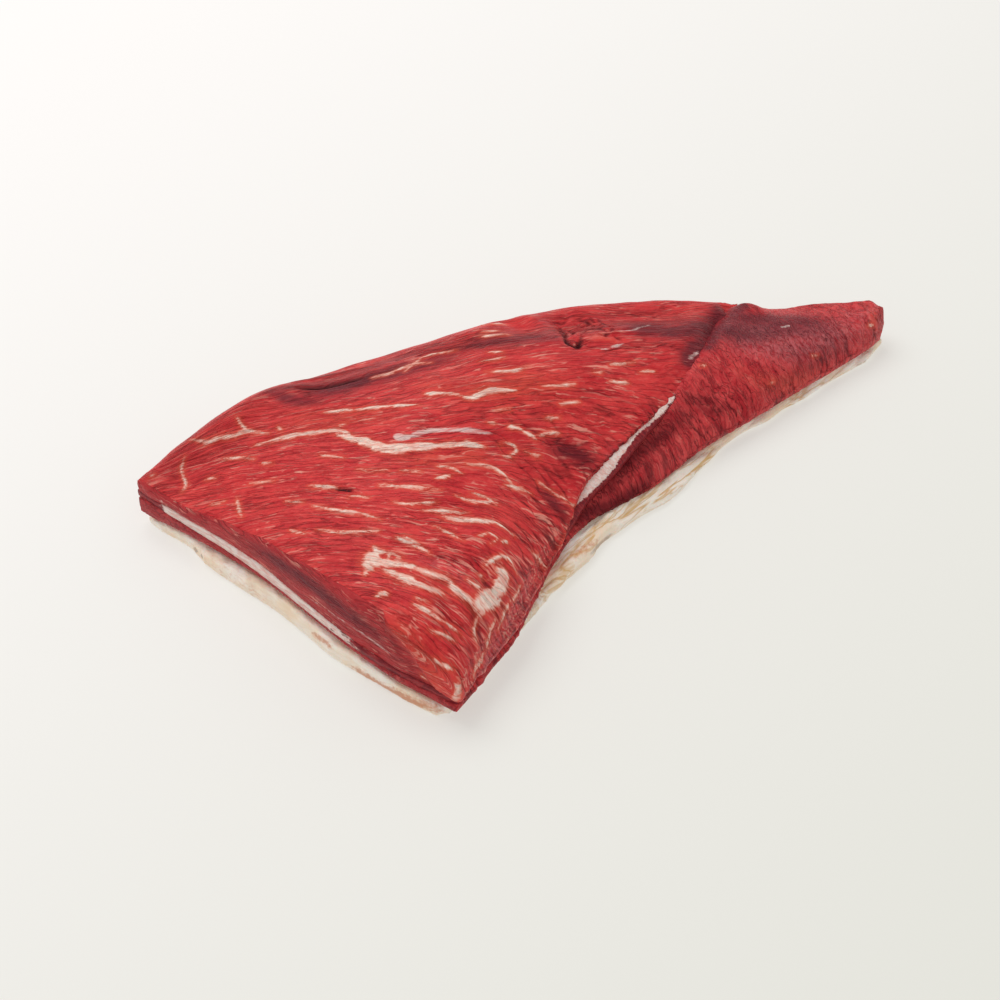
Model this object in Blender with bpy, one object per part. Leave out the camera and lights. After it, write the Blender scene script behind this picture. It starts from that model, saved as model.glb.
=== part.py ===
"""A raw beef tri-tip lying on its fat cap, in metres, +Z up.

The cut is a stack of four layers, each one closed solid. From the bottom they are the fat cap,
the lower muscle that runs out into the thin tail, a seam of white fat, and the thick upper
muscle. Every layer starts as a ball. Its longitudes are spread along the layer's outline seen
from above, and its latitudes run in over the underside, up the side and in over the top.

+X points from the broad end to the tail, and the knife's cut faces -X and -Y.
"""

import math
from dataclasses import dataclass

import bmesh
import bpy
import numpy as np
from mathutils import Vector, noise

# Gaps between layers: at their edges, and how much more from that reach inwards. The seam is
# thinner, so it keeps a smaller one.
LAYER_GAP = 0.0006
INNER_CLEARANCE = 0.0010
CLEARANCE_REACH = 0.006
SEAM_CLEARANCE = 0.0004
SEAM_LEAST = 0.0016

# How finely outlines are drawn, how softly one side's edge shape turns into the next, and how
# much rings crowd towards the edge.
OUTLINE_STEP = 0.001
EDGE_BLEND = 0.012
RING_CROWDING = 1.6

# Unevenness of the upper muscle's top.
LUMP_SIZE = 0.014
LUMP_HEIGHT = 0.0010

# Corners of the muscle seen from above.
BROAD_CORNER = (-0.161, 0.052)
NEAR_CORNER = (-0.082, -0.092)
NOTCH = (-0.010, -0.022)
TAIL_NEAR = (0.157, 0.0455)
TAIL_FAR = (0.1595, 0.0575)
UPPER_END = (0.104, 0.073)

# Sides of the muscle between those corners, each through the points that its shape needs.
CUT_SIDE = (BROAD_CORNER, (-0.137, 0.011), (-0.107, -0.056), NEAR_CORNER)
NEAR_SIDE = (NEAR_CORNER, (-0.067, -0.0785), (-0.051, -0.0655), (-0.026, -0.0375), NOTCH)
TAIL_SIDE = (NOTCH, (0.008, -0.013), (0.030, -0.006), (0.053, 0.006), (0.090, 0.020),
             (0.124, 0.033), TAIL_NEAR)
TAIL_TIP = (TAIL_NEAR, (0.1605, 0.0515), TAIL_FAR)
FAR_TAIL = (TAIL_FAR, (0.141, 0.064), (0.122, 0.069), UPPER_END)
FAR_SIDE = (UPPER_END, (0.060, 0.084), (0.020, 0.085), (-0.035, 0.080), (-0.085, 0.078),
            (-0.118, 0.0745), (-0.1405, 0.0645), (-0.153, 0.0565), BROAD_CORNER)
SEAM_LOW = (NOTCH, (0.000, -0.012), (0.016, -0.0045), (0.034, 0.0075))
SEAM_HIGH = ((0.034, 0.0075), (0.057, 0.025), (0.075, 0.043), UPPER_END)

# Sides of the fat cap, which stands out at the notch and is trimmed back under the near side.
FAT_CUT = ((-0.159, 0.051), (-0.148, 0.032), (-0.141, 0.014), (-0.122, -0.025), (-0.109, -0.053),
           (-0.087, -0.088))
FAT_NEAR = ((-0.087, -0.088), (-0.070, -0.078), (-0.046, -0.058), (-0.027, -0.043),
            (-0.003, -0.025))
FAT_TAIL = ((-0.003, -0.025), (0.022, -0.014), (0.043, -0.005), (0.072, 0.014), (0.097, 0.023),
            (0.125, 0.033), (0.160, 0.048))
FAT_FAR = ((0.160, 0.048), (0.157, 0.056), (0.104, 0.072), (0.030, 0.083), (-0.050, 0.079),
           (-0.116, 0.073), (-0.141, 0.062), (-0.159, 0.051))

# Heights of the layers over the table at places named by where they lie, as (x, y, height).
FAT_TOP = (
    (-0.157, 0.047, 0.0062), (-0.138, 0.012, 0.0093), (-0.125, -0.015, 0.0118),
    (-0.114, -0.042, 0.0112), (-0.100, -0.068, 0.0085), (-0.085, -0.088, 0.0062),
    (-0.040, -0.050, 0.0070), (-0.005, -0.022, 0.0085), (0.060, 0.010, 0.0065),
    (0.155, 0.048, 0.0055), (0.060, 0.070, 0.0075), (-0.060, 0.065, 0.0080),
    (-0.040, 0.010, 0.0095),
)
LOWER_TOP = (
    (-0.157, 0.048, 0.0146), (-0.144, 0.024, 0.0132), (-0.128, -0.010, 0.0142),
    (-0.109, -0.052, 0.0130), (-0.084, -0.088, 0.0105), (-0.050, -0.064, 0.0100),
    (-0.009, -0.020, 0.0122), (0.001, -0.011, 0.0138), (0.016, -0.004, 0.0195),
    (0.034, 0.008, 0.0235), (0.057, 0.026, 0.0255), (0.076, 0.044, 0.0252),
    (0.100, 0.068, 0.0200), (0.060, 0.070, 0.0190), (-0.030, 0.062, 0.0160),
    (-0.110, 0.062, 0.0165), (-0.045, 0.005, 0.0165), (0.112, 0.040, 0.0255),
    (0.140, 0.050, 0.0228), (0.158, 0.052, 0.0222), (0.085, 0.025, 0.0255),
    (0.045, 0.004, 0.0200),
)
SEAM_THICKNESS = (
    (-0.158, 0.051, 0.0012), (-0.145, 0.025, 0.0024), (-0.125, -0.015, 0.0030),
    (-0.105, -0.055, 0.0016), (-0.084, -0.088, 0.0016), (-0.009, -0.021, 0.0022),
    (0.006, -0.010, 0.0040), (0.034, 0.007, 0.0020), (0.076, 0.043, 0.0016),
    (0.102, 0.071, 0.0016), (-0.030, 0.060, 0.0018), (-0.050, 0.000, 0.0020),
)
UPPER_TOP = (
    (-0.156, 0.047, 0.0212), (-0.147, 0.030, 0.0228), (-0.138, 0.012, 0.0265),
    (-0.129, -0.006, 0.0312), (-0.118, -0.032, 0.0358), (-0.108, -0.053, 0.0380),
    (-0.094, -0.075, 0.0345), (-0.085, -0.087, 0.0300), (-0.054, -0.062, 0.0350),
    (-0.030, -0.034, 0.0320), (-0.011, -0.017, 0.0210), (0.002, -0.008, 0.0230),
    (0.020, 0.004, 0.0285), (0.040, 0.018, 0.0315), (0.062, 0.036, 0.0320),
    (0.082, 0.054, 0.0305), (0.100, 0.070, 0.0258), (0.056, 0.069, 0.0345),
    (0.020, 0.071, 0.0410), (-0.018, 0.067, 0.0440), (-0.050, 0.065, 0.0430),
    (-0.085, 0.063, 0.0400), (-0.110, 0.061, 0.0355), (-0.133, 0.055, 0.0270),
    (-0.150, 0.050, 0.0218), (-0.040, 0.010, 0.0475), (-0.085, -0.010, 0.0425),
    (-0.074, -0.045, 0.0410), (0.010, 0.030, 0.0435),
)


@dataclass
class Hollow:
    """A groove (or, with a negative depth, a ridge) pressed into the upper muscle."""

    start: tuple
    end: tuple
    width: float
    depth: float

    def pressed(self, plan):
        """How far the surface sinks at each plan point."""
        start = np.array(self.start)
        run = np.array(self.end) - start
        share = np.clip((plan - start) @ run / (run @ run), 0.0, 1.0)
        nearest = start + share[:, None] * run
        apart = np.linalg.norm(plan - nearest, axis=1)
        return self.depth * np.exp(-((apart / self.width) ** 2))


TOP_HOLLOWS = (
    Hollow((-0.108, 0.067), (-0.050, 0.066), 0.0050, 0.0030),
    Hollow((-0.145, 0.052), (-0.118, 0.061), 0.0050, -0.0008),
    Hollow((0.022, 0.074), (0.025, 0.060), 0.0055, 0.0040),
    Hollow((0.040, 0.072), (0.066, 0.066), 0.0050, 0.0016),
    Hollow((-0.084, -0.036), (-0.058, -0.033), 0.0070, 0.0022),
    Hollow((-0.054, -0.042), (-0.050, -0.054), 0.0070, -0.0024),
    Hollow((-0.088, -0.060), (-0.080, -0.078), 0.0090, -0.0020),
    Hollow((-0.110, 0.022), (-0.070, 0.016), 0.0080, 0.0010),
    Hollow((-0.066, 0.016), (-0.030, 0.026), 0.0080, -0.0012),
)


def clear_scene():
    """Removes the scene's objects and the collections they came in."""
    for obj in list(bpy.data.objects):
        bpy.data.objects.remove(obj)
    for collection in list(bpy.data.collections):
        bpy.data.collections.remove(collection)


def principled(name, colour, roughness):
    """A plain material of that colour and roughness."""
    material = bpy.data.materials.new(name)
    material.use_nodes = True
    shader = material.node_tree.nodes["Principled BSDF"]
    shader.inputs["Base Color"].default_value = (*colour, 1.0)
    shader.inputs["Roughness"].default_value = roughness
    shader.inputs["Metallic"].default_value = 0.0
    return material


def smooth_side(points):
    """Points every OUTLINE_STEP along a Catmull-Rom curve, without the last one."""
    knots = [np.array(p) for p in points]
    knots = [2 * knots[0] - knots[1], *knots, 2 * knots[-1] - knots[-2]]
    found = []
    for before, here, there, after in zip(knots, knots[1:], knots[2:], knots[3:]):
        count = max(2, round(np.linalg.norm(there - here) / OUTLINE_STEP))
        for t in np.arange(count) / count:
            found.append(0.5 * (2 * here + (there - before) * t
                                + (2 * before - 5 * here + 4 * there - after) * t ** 2
                                + (3 * here - before - 3 * there + after) * t ** 3))
    return np.array(found)


def around(values, length):
    """A mean of each value with its neighbours within length, round a closed outline."""
    reach = max(1, round(length / OUTLINE_STEP))
    shifted = [np.roll(values, shift, axis=0) for shift in range(-reach, reach + 1)]
    return np.mean(shifted, axis=0)


@dataclass
class Side:
    """One side of a layer's outline.

    wall is the share of the thickness that stands upright at the edge, radius how far in the
    rounding reaches, bulge how far the upright part swells outwards and inset how far the edge
    is set back from the points.
    """

    points: tuple
    wall: float
    radius: float
    bulge: float = 0.0
    inset: float = 0.0


class Outline:
    """A closed outline with, at each point, how the layer's edge is shaped there."""

    def __init__(self, sides, ragged=0.0, ragged_length=0.010):
        """sides run anticlockwise seen from above; ragged is how far the edge strays."""
        runs = [smooth_side(side.points) for side in sides]
        self.points = np.concatenate(runs)
        shape = [np.tile((side.wall, side.radius, side.bulge, side.inset), (len(run), 1))
                 for run, side in zip(runs, sides)]
        self.shape = around(np.concatenate(shape), EDGE_BLEND)
        along = np.roll(self.points, -1, axis=0) - np.roll(self.points, 1, axis=0)
        along = around(along, EDGE_BLEND / 4)
        self.outward = np.stack([along[:, 1], -along[:, 0]], axis=1)
        self.outward /= np.linalg.norm(self.outward, axis=1)[:, None]
        for i, point in enumerate(self.points):
            place = Vector((*point, 0.0)) / ragged_length
            out = ragged * noise.fractal(place, 1.0, 2.0, 3) - self.shape[i, 3]
            self.points[i] += self.outward[i] * out

    def spread(self, count):
        """Indices of count points spaced evenly along the outline."""
        steps = np.linalg.norm(np.roll(self.points, -1, axis=0) - self.points, axis=1)
        walked = np.concatenate([[0.0], np.cumsum(steps)])
        targets = np.arange(count) / count * walked[-1]
        return np.searchsorted(walked, targets + OUTLINE_STEP / 100) - 1

    def nearest(self, plan):
        """(distance in from the outline, wall, radius) at each plan point."""
        apart = np.linalg.norm(plan[:, None, :] - self.points[None, :, :], axis=2)
        index = apart.argmin(axis=1)
        return apart[np.arange(len(plan)), index], self.shape[index, 0], self.shape[index, 1]


class Sheet:
    """A smooth height over the plan: a thin-plate surface through named heights."""

    def __init__(self, stations):
        table = np.array(stations)
        self.places = table[:, :2]
        count = len(table)
        plane = np.column_stack([np.ones(count), self.places])
        system = np.block([[self.bend(self.places), plane], [plane.T, np.zeros((3, 3))]])
        self.weights = np.linalg.solve(system, np.concatenate([table[:, 2], np.zeros(3)]))

    def bend(self, plan):
        """The thin-plate term of each plan point for each named height."""
        square = ((plan[:, None, :] - self.places[None, :, :]) ** 2).sum(axis=2)
        return 0.5 * square * np.log(square + 1e-12)

    def at(self, plan):
        """The height at each plan point."""
        plane = np.column_stack([np.ones(len(plan)), plan])
        return np.column_stack([self.bend(plan), plane]) @ self.weights


@dataclass
class Rings:
    """How a layer's ball is divided: points round its outline, and rings over each part."""

    around: int
    under: int
    side: int
    over: int


def layer(name, outline, centre, rings, under, clearance, over, relief, material, collection):
    """Makes one layer of the cut from a ball.

    under and over give the layer's two heights at plan points, clearance is how much further
    the middle of the underside stays off the layer below, and relief is added on the top.
    """
    total = rings.under + rings.side + rings.over
    rim_index = outline.spread(rings.around)
    rim = outline.points[rim_index]
    outward = outline.outward[rim_index]
    centre = np.array(centre)
    placed = np.zeros((total + 1, rings.around, 3))

    for ring in range(rings.under + 1):
        share = ring / rings.under
        plan = centre + share * (rim - centre)
        inset, *_ = outline.nearest(plan)
        lift = clearance * np.clip(inset / CLEARANCE_REACH, 0.0, 1.0)
        placed[ring] = np.column_stack([plan, under(plan) + lift])

    for step in range(rings.over + 1):
        share = 1.0 - (step / rings.over) ** RING_CROWDING
        plan = centre + share * (rim - centre)
        inset, wall, radius = outline.nearest(plan)
        turn = 1.0 - np.clip(inset / radius, 0.0, 1.0)
        rounded = wall + (1.0 - wall) * np.sqrt(1.0 - turn ** 2)
        low = under(plan)
        height = low + (over(plan) - low) * rounded + relief(plan) * (1.0 - turn)
        placed[rings.under + rings.side + step] = np.column_stack([plan, height])

    foot = placed[rings.under]
    shoulder = placed[rings.under + rings.side]
    bulge = outline.shape[rim_index, 2]
    for step in range(1, rings.side):
        share = step / rings.side
        swell = (bulge * math.sin(math.pi * share))[:, None] * outward
        between = foot + (shoulder - foot) * share
        placed[rings.under + step] = between + np.column_stack([swell, np.zeros(rings.around)])

    ball = bmesh.new()
    bmesh.ops.create_uvsphere(ball, u_segments=rings.around, v_segments=total, radius=1.0)
    for vertex in ball.verts:
        longitude = math.atan2(vertex.co.y, vertex.co.x) / math.tau
        latitude = math.asin(max(-1.0, min(1.0, vertex.co.z))) / math.pi + 0.5
        spoke = round(longitude * rings.around) % rings.around
        vertex.co = placed[round(latitude * total), spoke]
    mesh = bpy.data.meshes.new(name)
    ball.to_mesh(mesh)
    ball.free()
    mesh.shade_smooth()
    mesh.materials.append(material)
    obj = bpy.data.objects.new(name, mesh)
    collection.objects.link(obj)
    return obj


def upper_relief(plan):
    """The upper muscle's soft lumps and hollows at each plan point."""
    lumps = np.array([noise.noise(Vector((x, y, 0.0)) / LUMP_SIZE) for x, y in plan])
    return LUMP_HEIGHT * lumps - sum(hollow.pressed(plan) for hollow in TOP_HOLLOWS)


def flat(plan):
    """No height at any plan point: the table, and a top without relief."""
    return np.zeros(len(plan))


def centre_on_footprint(objects):
    """Moves the origin to the middle of the footprint, at table height."""
    corners = np.array([v.co for obj in objects for v in obj.data.vertices])
    low, high = corners.min(axis=0), corners.max(axis=0)
    middle = Vector((low + high) / 2)
    middle.z = low[2]
    for obj in objects:
        for vertex in obj.data.vertices:
            vertex.co -= middle
    print("footprint centre moved by", [round(c, 5) for c in middle])


def outlines():
    """The four layers' outlines, each side with its own edge."""
    fat = Outline((
        Side(FAT_CUT, wall=0.75, radius=0.004, bulge=0.001),
        Side(FAT_NEAR, wall=0.60, radius=0.006),
        Side(FAT_TAIL, wall=0.55, radius=0.008, bulge=0.001),
        Side(FAT_FAR, wall=0.55, radius=0.006),
    ), ragged=0.0020, ragged_length=0.012)
    lower = Outline((
        Side(CUT_SIDE, wall=0.92, radius=0.003, bulge=0.0005),
        Side(NEAR_SIDE, wall=0.85, radius=0.004, bulge=0.001),
        Side(TAIL_SIDE, wall=0.28, radius=0.022, bulge=0.001),
        Side(TAIL_TIP, wall=0.85, radius=0.003, bulge=0.001),
        Side(FAR_TAIL, wall=0.70, radius=0.006, bulge=0.001),
        Side(FAR_SIDE, wall=0.90, radius=0.003, bulge=0.001),
    ), ragged=0.0006)
    seam = Outline((
        Side(CUT_SIDE, wall=0.95, radius=0.002),
        Side(NEAR_SIDE, wall=0.95, radius=0.002, inset=0.001),
        Side(SEAM_LOW, wall=0.50, radius=0.004),
        Side(SEAM_HIGH, wall=0.80, radius=0.003),
        Side(FAR_SIDE, wall=0.95, radius=0.002, inset=0.001),
    ))
    upper = Outline((
        Side(CUT_SIDE, wall=0.86, radius=0.005, bulge=0.0006),
        Side(NEAR_SIDE, wall=0.30, radius=0.024, bulge=0.002),
        Side(SEAM_LOW, wall=0.40, radius=0.008, inset=0.0025),
        Side(SEAM_HIGH, wall=0.55, radius=0.006, inset=0.0006),
        Side(FAR_SIDE, wall=0.30, radius=0.018, bulge=0.001),
    ), ragged=0.0010)
    return fat, lower, seam, upper


def main():
    """Builds the four layers."""
    clear_scene()
    collection = bpy.data.collections.new("beef_tri_tip")
    bpy.context.scene.collection.children.link(collection)

    fat_top = Sheet(FAT_TOP)
    lower_top = Sheet(LOWER_TOP)
    seam_thickness = Sheet(SEAM_THICKNESS)
    upper_top = Sheet(UPPER_TOP)

    def over_fat(plan):
        return fat_top.at(plan) + LAYER_GAP

    def over_lower(plan):
        return lower_top.at(plan) + LAYER_GAP

    def seam_top(plan):
        return over_lower(plan) + np.maximum(seam_thickness.at(plan), SEAM_LEAST)

    def over_seam(plan):
        return seam_top(plan) + LAYER_GAP

    lean = principled("upper_muscle", (0.48, 0.045, 0.040), 0.45)
    dark_lean = principled("lower_muscle", (0.30, 0.022, 0.028), 0.45)
    seam_white = principled("seam_fat", (0.78, 0.66, 0.62), 0.50)
    cream = principled("fat_cap", (0.84, 0.74, 0.60), 0.55)

    fat, lower, seam, upper = outlines()
    objects = [
        layer("fat_cap", fat, (-0.010, 0.020), Rings(around=96, under=3, side=2, over=3),
              flat, 0.0, fat_top.at, flat, cream, collection),
        layer("lower_muscle", lower, (-0.002, 0.028), Rings(around=96, under=5, side=2, over=9),
              over_fat, INNER_CLEARANCE, lower_top.at, flat, dark_lean, collection),
        layer("seam_fat", seam, (-0.040, 0.018), Rings(around=92, under=5, side=1, over=5),
              over_lower, SEAM_CLEARANCE, seam_top, flat, seam_white, collection),
        layer("upper_muscle", upper, (-0.045, 0.015), Rings(around=104, under=5, side=3, over=15),
              over_seam, INNER_CLEARANCE, upper_top.at, upper_relief, lean, collection),
    ]
    centre_on_footprint(objects)


main()
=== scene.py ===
"""A raw beef tri-tip: two muscles with a white seam between them, lying on their fat cap.

The four solids of the frame give the form. Each one is copied, remeshed finely and carved along its
muscle fibres, and gets marks of fat, sinew and shade where the real cut has them.
"""

import itertools
import logging
import math
from dataclasses import dataclass, field
from enum import Enum

import bpy
import numpy as np
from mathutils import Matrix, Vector
from mathutils.bvhtree import BVHTree


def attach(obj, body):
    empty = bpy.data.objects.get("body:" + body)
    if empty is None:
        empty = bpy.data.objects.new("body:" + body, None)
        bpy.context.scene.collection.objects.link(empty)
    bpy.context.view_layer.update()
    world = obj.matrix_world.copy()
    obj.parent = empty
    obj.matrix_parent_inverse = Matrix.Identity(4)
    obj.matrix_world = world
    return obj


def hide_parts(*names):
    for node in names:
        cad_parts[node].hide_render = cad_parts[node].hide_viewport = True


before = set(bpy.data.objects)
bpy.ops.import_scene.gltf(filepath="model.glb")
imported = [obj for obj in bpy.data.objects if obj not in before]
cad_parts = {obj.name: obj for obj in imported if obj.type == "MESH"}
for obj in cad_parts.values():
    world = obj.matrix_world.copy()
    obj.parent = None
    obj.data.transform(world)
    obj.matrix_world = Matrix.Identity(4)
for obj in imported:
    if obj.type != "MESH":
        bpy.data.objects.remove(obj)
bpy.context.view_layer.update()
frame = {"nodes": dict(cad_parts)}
MM = 0.001
OUTSIDE = -4.0
CUT_RUN = (0.48, -0.88)
SIDE_RUN = (0.88, 0.47)
LOG = logging.getLogger("tri_tip")

Pixel = tuple[float, float]
Path = tuple[float, ...]
Colour = tuple[float, float, float]
Cell = tuple[float, float, float]
Span = tuple[float, float]


def display(red: float, green: float, blue: float) -> Colour:
    """Turns a colour as a screen shows it, 0 to 255, into linear light."""
    return tuple(((c / 255 + 0.055) / 1.055) ** 2.4 for c in (red, green, blue))


def ramp(x: np.ndarray, low: float, high: float) -> np.ndarray:
    """A smooth step from 0 at low to 1 at high.

    Args:
        x: The values.
        low: Where the step starts.
        high: Where it ends.

    Returns:
        The step at each value.
    """
    t = np.clip((x - low) / (high - low), 0, 1)
    return t * t * (3 - 2 * t)


def curve_through(points: np.ndarray, step: float) -> np.ndarray:
    """Runs a smooth curve through points.

    Args:
        points: The points, one a row.
        step: The distance between the points of the curve.

    Returns:
        The curve's points.
    """
    if len(points) < 2:
        return points
    ends = np.vstack([2 * points[0] - points[1], points, 2 * points[-1] - points[-2]])
    made = []
    for a, b, c, d in zip(ends, ends[1:], ends[2:], ends[3:]):
        count = max(2, int(np.linalg.norm(c - b) / step))
        t = np.linspace(0, 1, count, endpoint=False)[:, None]
        made.append(0.5 * (2 * b + (c - a) * t + (2 * a - 5 * b + 4 * c - d) * t**2
                           + (3 * b - a - 3 * c + d) * t**3))
    return np.vstack([*made, points[-1:]])


def turned(places: np.ndarray, x: float, y: float) -> np.ndarray:
    """Places in level axes of which the first runs along (x, y)."""
    return places @ np.array([[x, -y, 0.0], [y, x, 0.0], [0.0, 0.0, 1.0]])


def tree_of(node: str) -> BVHTree:
    """The faces of a solid of the frame, ready for rays."""
    solid = frame["nodes"][node].data
    return BVHTree.FromPolygons([v.co for v in solid.vertices], [tuple(p.vertices) for p in solid.polygons])


class Noise:
    """Smooth lattice noise between about -1 and 1, the same at each run."""

    CELLS = 256
    GAIN = 1.6

    def __init__(self, seed: int) -> None:
        """Fills the lattice from a seed."""
        draw = np.random.default_rng(seed)
        self.order = draw.permutation(self.CELLS)
        slopes = draw.normal(size=(self.CELLS, 3))
        self.slopes = slopes / np.linalg.norm(slopes, axis=1)[:, None]

    def __call__(self, points: np.ndarray) -> np.ndarray:
        """Reads the noise.

        Args:
            points: Where it is read, three coordinates a row, in cells.

        Returns:
            The noise at each point.
        """
        cell = np.floor(points).astype(np.int64)
        local = points - cell
        fade = local**3 * (local * (local * 6 - 15) + 10)
        total = np.zeros(len(points))
        for corner in itertools.product((0, 1), repeat=3):
            at = (cell + corner) % self.CELLS
            key = self.order[(self.order[at[:, 0]] + at[:, 1]) % self.CELLS]
            key = self.order[(key + at[:, 2]) % self.CELLS]
            weight = np.where(corner, fade, 1 - fade).prod(axis=1)
            total += weight * ((local - corner) * self.slopes[key]).sum(axis=1)
        return self.GAIN * total


@dataclass(frozen=True)
class Camera:
    """The camera, at the angle from which the cut is seen, in degrees and metres."""

    azimuth: float = -20.7
    elevation: float = 42.0
    distance: float = 0.898
    aim: tuple[float, float, float] = (-0.0345, -0.0046, 0.022)
    lens: float = 85.0
    sensor: float = 36.0
    frame: int = 1000

    @property
    def axes(self) -> tuple[np.ndarray, np.ndarray, np.ndarray]:
        """The camera's backward, right and up directions."""
        a, e = math.radians(self.azimuth), math.radians(self.elevation)
        back = np.array([math.sin(a) * math.cos(e), -math.cos(a) * math.cos(e), math.sin(e)])
        right = np.array([math.cos(a), math.sin(a), 0.0])
        return back, right, np.cross(back, right)

    @property
    def place(self) -> np.ndarray:
        """Where the camera stands."""
        return np.array(self.aim) + self.axes[0] * self.distance

    def ray(self, pixel: Pixel) -> Vector:
        """The direction that a pixel of the frame looks in."""
        back, right, up = self.axes
        x, y = (np.array(pixel) - self.frame / 2) * self.sensor / self.lens / self.frame
        return Vector(x * right - y * up - back).normalized()

    def build(self) -> None:
        """Adds the camera and makes it the scene's."""
        back, _, _ = self.axes
        turn = (-Vector(back)).to_track_quat("-Z", "Y").to_euler()
        bpy.ops.object.camera_add(location=self.place, rotation=turn)
        made = bpy.context.object
        made.name = "camera"
        made.data.lens = self.lens
        made.data.sensor_width = self.sensor
        bpy.context.scene.camera = made


class Wire:
    """An output of a node, with arithmetic that adds Math nodes."""

    def __init__(self, graph: "Graph", socket: bpy.types.NodeSocket) -> None:
        """Keeps the socket and the graph that it belongs to."""
        self.graph = graph
        self.socket = socket

    def __add__(self, other: "Wire | float") -> "Wire":
        """Sum."""
        return self.graph.math("ADD", self, other)

    def __radd__(self, other: float) -> "Wire":
        """Sum, from the other side."""
        return self.graph.math("ADD", other, self)

    def __sub__(self, other: "Wire | float") -> "Wire":
        """Difference."""
        return self.graph.math("SUBTRACT", self, other)

    def __rsub__(self, other: float) -> "Wire":
        """Difference, from the other side."""
        return self.graph.math("SUBTRACT", other, self)

    def __mul__(self, other: "Wire | float") -> "Wire":
        """Product."""
        return self.graph.math("MULTIPLY", self, other)

    def __rmul__(self, other: float) -> "Wire":
        """Product, from the other side."""
        return self.graph.math("MULTIPLY", other, self)

    def __abs__(self) -> "Wire":
        """Size without sign."""
        return self.graph.math("ABSOLUTE", self, 0.0)

    def step(self, low: float, high: float) -> "Wire":
        """A smooth step from 0 at low to 1 at high."""
        made = self.graph.node("ShaderNodeMapRange", {"interpolation_type": "SMOOTHSTEP"},
                               {"Value": self, "From Min": low, "From Max": high})
        return Wire(self.graph, made.outputs[0])


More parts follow.
